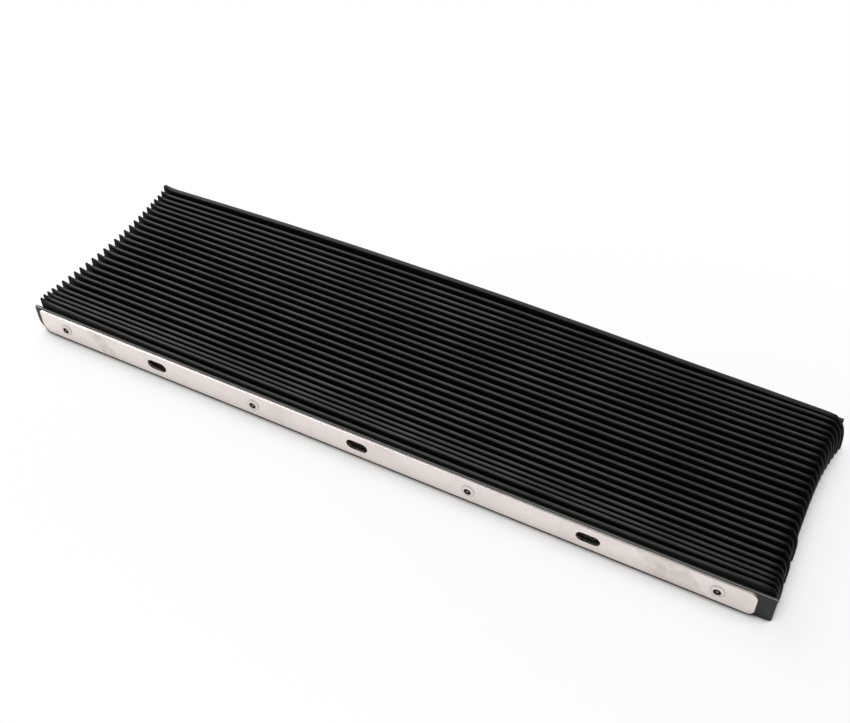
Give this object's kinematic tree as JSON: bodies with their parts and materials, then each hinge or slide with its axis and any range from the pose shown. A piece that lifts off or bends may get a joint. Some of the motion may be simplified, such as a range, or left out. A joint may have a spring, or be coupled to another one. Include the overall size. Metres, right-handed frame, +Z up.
{
  "type": "bellows way cover",
  "caption": "Pleated cloth cover of low U section with a stiffener frame in each fold and a slotted steel strip riveted to a board at each end, to shield a machine's guide ways.",
  "frame": {"origin": "middle of the cover on the surface that it stands on", "axes": "+X across the cover along its folds, +Y from the pictured front strip to the rear strip, the way the folds open, +Z up"},
  "size_m": [0.446, 0.1324, 0.0245],
  "materials": {
    "coated_cloth": "black polyurethane-coated cloth, slight sheen, fine weave",
    "end_board": "black board, satin, fine leather-like grain",
    "strip_steel": "bright cold-rolled strip, satin, faint smudges and tape marks",
    "rivet_steel": "plated blind rivet with a dark eye",
    "stiffener_sheet": "dark grey rigid sheet, matte"
  },
  "bodies": {
    "front": {"front_end_strip": "strip_steel", "front_end_board": "end_board", "front_rivets": "rivet_steel", "bellows_skin": "coated_cloth"},
    "stiffener_01": {"stiffener_01": "stiffener_sheet"},
    "stiffener_02": {"stiffener_02": "stiffener_sheet"},
    "stiffener_03": {"stiffener_03": "stiffener_sheet"},
    "stiffener_04": {"stiffener_04": "stiffener_sheet"},
    "stiffener_05": {"stiffener_05": "stiffener_sheet"},
    "stiffener_06": {"stiffener_06": "stiffener_sheet"},
    "stiffener_07": {"stiffener_07": "stiffener_sheet"},
    "stiffener_08": {"stiffener_08": "stiffener_sheet"},
    "stiffener_09": {"stiffener_09": "stiffener_sheet"},
    "stiffener_10": {"stiffener_10": "stiffener_sheet"},
    "stiffener_11": {"stiffener_11": "stiffener_sheet"},
    "stiffener_12": {"stiffener_12": "stiffener_sheet"},
    "stiffener_13": {"stiffener_13": "stiffener_sheet"},
    "stiffener_14": {"stiffener_14": "stiffener_sheet"},
    "stiffener_15": {"stiffener_15": "stiffener_sheet"},
    "stiffener_16": {"stiffener_16": "stiffener_sheet"},
    "stiffener_17": {"stiffener_17": "stiffener_sheet"},
    "stiffener_18": {"stiffener_18": "stiffener_sheet"},
    "stiffener_19": {"stiffener_19": "stiffener_sheet"},
    "stiffener_20": {"stiffener_20": "stiffener_sheet"},
    "stiffener_21": {"stiffener_21": "stiffener_sheet"},
    "stiffener_22": {"stiffener_22": "stiffener_sheet"},
    "stiffener_23": {"stiffener_23": "stiffener_sheet"},
    "stiffener_24": {"stiffener_24": "stiffener_sheet"},
    "stiffener_25": {"stiffener_25": "stiffener_sheet"},
    "rear": {"rear_end_strip": "strip_steel", "rear_end_board": "end_board", "rear_rivets": "rivet_steel"}
  },
  "joints": [
    {"name": "extension", "type": "slide", "parent": "front", "child": "rear", "axis": [0, 1, 0], "range_m": [-0.026, 0.273], "deforming": ["bellows_skin"]},
    {"name": "stiffener_01_slide", "type": "slide", "parent": "front", "child": "stiffener_01", "axis": [0, 1, 0], "range_m": [-0.001, 0.0105]},
    {"name": "stiffener_02_slide", "type": "slide", "parent": "stiffener_01", "child": "stiffener_02", "axis": [0, 1, 0], "range_m": [-0.001, 0.0105]},
    {"name": "stiffener_03_slide", "type": "slide", "parent": "stiffener_02", "child": "stiffener_03", "axis": [0, 1, 0], "range_m": [-0.001, 0.0105]},
    {"name": "stiffener_04_slide", "type": "slide", "parent": "stiffener_03", "child": "stiffener_04", "axis": [0, 1, 0], "range_m": [-0.001, 0.0105]},
    {"name": "stiffener_05_slide", "type": "slide", "parent": "stiffener_04", "child": "stiffener_05", "axis": [0, 1, 0], "range_m": [-0.001, 0.0105]},
    {"name": "stiffener_06_slide", "type": "slide", "parent": "stiffener_05", "child": "stiffener_06", "axis": [0, 1, 0], "range_m": [-0.001, 0.0105]},
    {"name": "stiffener_07_slide", "type": "slide", "parent": "stiffener_06", "child": "stiffener_07", "axis": [0, 1, 0], "range_m": [-0.001, 0.0105]},
    {"name": "stiffener_08_slide", "type": "slide", "parent": "stiffener_07", "child": "stiffener_08", "axis": [0, 1, 0], "range_m": [-0.001, 0.0105]},
    {"name": "stiffener_09_slide", "type": "slide", "parent": "stiffener_08", "child": "stiffener_09", "axis": [0, 1, 0], "range_m": [-0.001, 0.0105]},
    {"name": "stiffener_10_slide", "type": "slide", "parent": "stiffener_09", "child": "stiffener_10", "axis": [0, 1, 0], "range_m": [-0.001, 0.0105]},
    {"name": "stiffener_11_slide", "type": "slide", "parent": "stiffener_10", "child": "stiffener_11", "axis": [0, 1, 0], "range_m": [-0.001, 0.0105]},
    {"name": "stiffener_12_slide", "type": "slide", "parent": "stiffener_11", "child": "stiffener_12", "axis": [0, 1, 0], "range_m": [-0.001, 0.0105]},
    {"name": "stiffener_25_slide", "type": "slide", "parent": "rear", "child": "stiffener_25", "axis": [0, -1, 0], "range_m": [-0.001, 0.0105]},
    {"name": "stiffener_24_slide", "type": "slide", "parent": "stiffener_25", "child": "stiffener_24", "axis": [0, -1, 0], "range_m": [-0.001, 0.0105]},
    {"name": "stiffener_23_slide", "type": "slide", "parent": "stiffener_24", "child": "stiffener_23", "axis": [0, -1, 0], "range_m": [-0.001, 0.0105]},
    {"name": "stiffener_22_slide", "type": "slide", "parent": "stiffener_23", "child": "stiffener_22", "axis": [0, -1, 0], "range_m": [-0.001, 0.0105]},
    {"name": "stiffener_21_slide", "type": "slide", "parent": "stiffener_22", "child": "stiffener_21", "axis": [0, -1, 0], "range_m": [-0.001, 0.0105]},
    {"name": "stiffener_20_slide", "type": "slide", "parent": "stiffener_21", "child": "stiffener_20", "axis": [0, -1, 0], "range_m": [-0.001, 0.0105]},
    {"name": "stiffener_19_slide", "type": "slide", "parent": "stiffener_20", "child": "stiffener_19", "axis": [0, -1, 0], "range_m": [-0.001, 0.0105]},
    {"name": "stiffener_18_slide", "type": "slide", "parent": "stiffener_19", "child": "stiffener_18", "axis": [0, -1, 0], "range_m": [-0.001, 0.0105]},
    {"name": "stiffener_17_slide", "type": "slide", "parent": "stiffener_18", "child": "stiffener_17", "axis": [0, -1, 0], "range_m": [-0.001, 0.0105]},
    {"name": "stiffener_16_slide", "type": "slide", "parent": "stiffener_17", "child": "stiffener_16", "axis": [0, -1, 0], "range_m": [-0.001, 0.0105]},
    {"name": "stiffener_15_slide", "type": "slide", "parent": "stiffener_16", "child": "stiffener_15", "axis": [0, -1, 0], "range_m": [-0.001, 0.0105]},
    {"name": "stiffener_14_slide", "type": "slide", "parent": "stiffener_15", "child": "stiffener_14", "axis": [0, -1, 0], "range_m": [-0.001, 0.0105]},
    {"name": "stiffener_13_slide", "type": "slide", "parent": "stiffener_14", "child": "stiffener_13", "axis": [0, -1, 0], "range_m": [-0.001, 0.0105]}
  ],
  "couplings": [
    {"joint": "stiffener_01_slide", "follows": "extension", "ratio": 0.038462},
    {"joint": "stiffener_02_slide", "follows": "extension", "ratio": 0.038462},
    {"joint": "stiffener_03_slide", "follows": "extension", "ratio": 0.038462},
    {"joint": "stiffener_04_slide", "follows": "extension", "ratio": 0.038462},
    {"joint": "stiffener_05_slide", "follows": "extension", "ratio": 0.038462},
    {"joint": "stiffener_06_slide", "follows": "extension", "ratio": 0.038462},
    {"joint": "stiffener_07_slide", "follows": "extension", "ratio": 0.038462},
    {"joint": "stiffener_08_slide", "follows": "extension", "ratio": 0.038462},
    {"joint": "stiffener_09_slide", "follows": "extension", "ratio": 0.038462},
    {"joint": "stiffener_10_slide", "follows": "extension", "ratio": 0.038462},
    {"joint": "stiffener_11_slide", "follows": "extension", "ratio": 0.038462},
    {"joint": "stiffener_12_slide", "follows": "extension", "ratio": 0.038462},
    {"joint": "stiffener_25_slide", "follows": "extension", "ratio": 0.038462},
    {"joint": "stiffener_24_slide", "follows": "extension", "ratio": 0.038462},
    {"joint": "stiffener_23_slide", "follows": "extension", "ratio": 0.038462},
    {"joint": "stiffener_22_slide", "follows": "extension", "ratio": 0.038462},
    {"joint": "stiffener_21_slide", "follows": "extension", "ratio": 0.038462},
    {"joint": "stiffener_20_slide", "follows": "extension", "ratio": 0.038462},
    {"joint": "stiffener_19_slide", "follows": "extension", "ratio": 0.038462},
    {"joint": "stiffener_18_slide", "follows": "extension", "ratio": 0.038462},
    {"joint": "stiffener_17_slide", "follows": "extension", "ratio": 0.038462},
    {"joint": "stiffener_16_slide", "follows": "extension", "ratio": 0.038462},
    {"joint": "stiffener_15_slide", "follows": "extension", "ratio": 0.038462},
    {"joint": "stiffener_14_slide", "follows": "extension", "ratio": 0.038462},
    {"joint": "stiffener_13_slide", "follows": "extension", "ratio": 0.038462}
  ]
}
